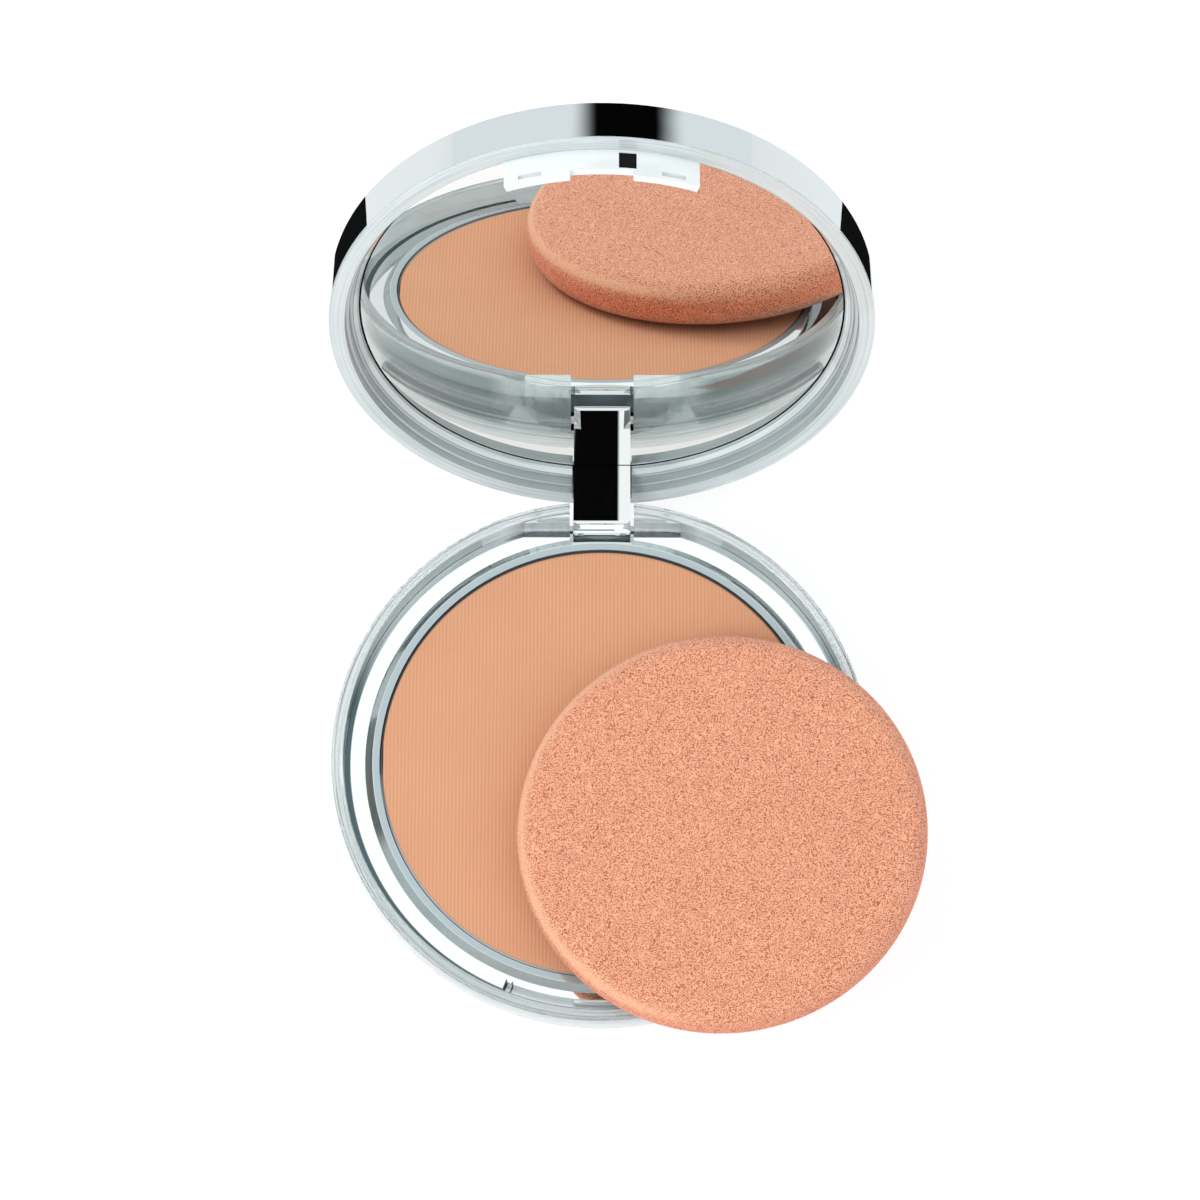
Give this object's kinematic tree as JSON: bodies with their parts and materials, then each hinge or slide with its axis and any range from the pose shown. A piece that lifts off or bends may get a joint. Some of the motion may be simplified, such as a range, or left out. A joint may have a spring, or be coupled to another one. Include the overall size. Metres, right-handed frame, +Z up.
{
  "type": "powder compact",
  "caption": "Round pressed-powder compact with a clear base, bright tray, mirrored hinged lid and a foam puff.",
  "frame": {"origin": "centre of the flat underside of the base", "axes": "+Z up, +Y towards the hinge, -Y towards the latch, +X to the right when seen from the latch side"},
  "size_m": [0.0878, 0.1222, 0.0771],
  "materials": {
    "clear_plastic": "clear polished plastic",
    "bright_metallised": "mirror-bright vacuum-metallised ABS",
    "gloss_white": "glossy white moulded plastic",
    "black_rubber": "matt black elastomer",
    "steel_pin": "drawn steel wire",
    "pan_metal": "pressed sheet",
    "tape": "double-sided tape",
    "powder": "pressed powder, finely ribbed, matte",
    "mirror_glass": "silvered glass",
    "backing": "plain moulded",
    "foam": "fine open-cell latex foam, matte"
  },
  "bodies": {
    "base": {"base_shell": "clear_plastic", "hinge_pin_left": "steel_pin", "hinge_pin_right": "steel_pin", "inner_bowl": "bright_metallised", "pan_tray": "bright_metallised", "pan_tape": "tape", "powder_pan": "pan_metal", "powder_cake": "powder"},
    "lid": {"lid_cap": "bright_metallised", "lid_bezel": "clear_plastic", "mirror": "mirror_glass", "mirror_tape": "tape", "mirror_backing": "backing", "hinge_arm": "bright_metallised", "catch_tongue": "gloss_white", "snap_pad": "black_rubber"},
    "puff": {"puff": "foam"}
  },
  "joints": [
    {"name": "lid_hinge", "type": "hinge", "parent": "base", "child": "lid", "pos_m": [0, 0.0374, 0.00806], "axis": [1, 0, 0], "range_deg": [0, 111.86]},
    {"name": "puff_lift_off", "type": "slide", "parent": "base", "child": "puff", "axis": [0.8091, -0.5665, 0.1564], "range_m": [0, 0.06]}
  ],
  "couplings": [
    {"joint": "puff_lift_off", "follows": "lid_hinge", "m_per_rad": 0.02971}
  ]
}
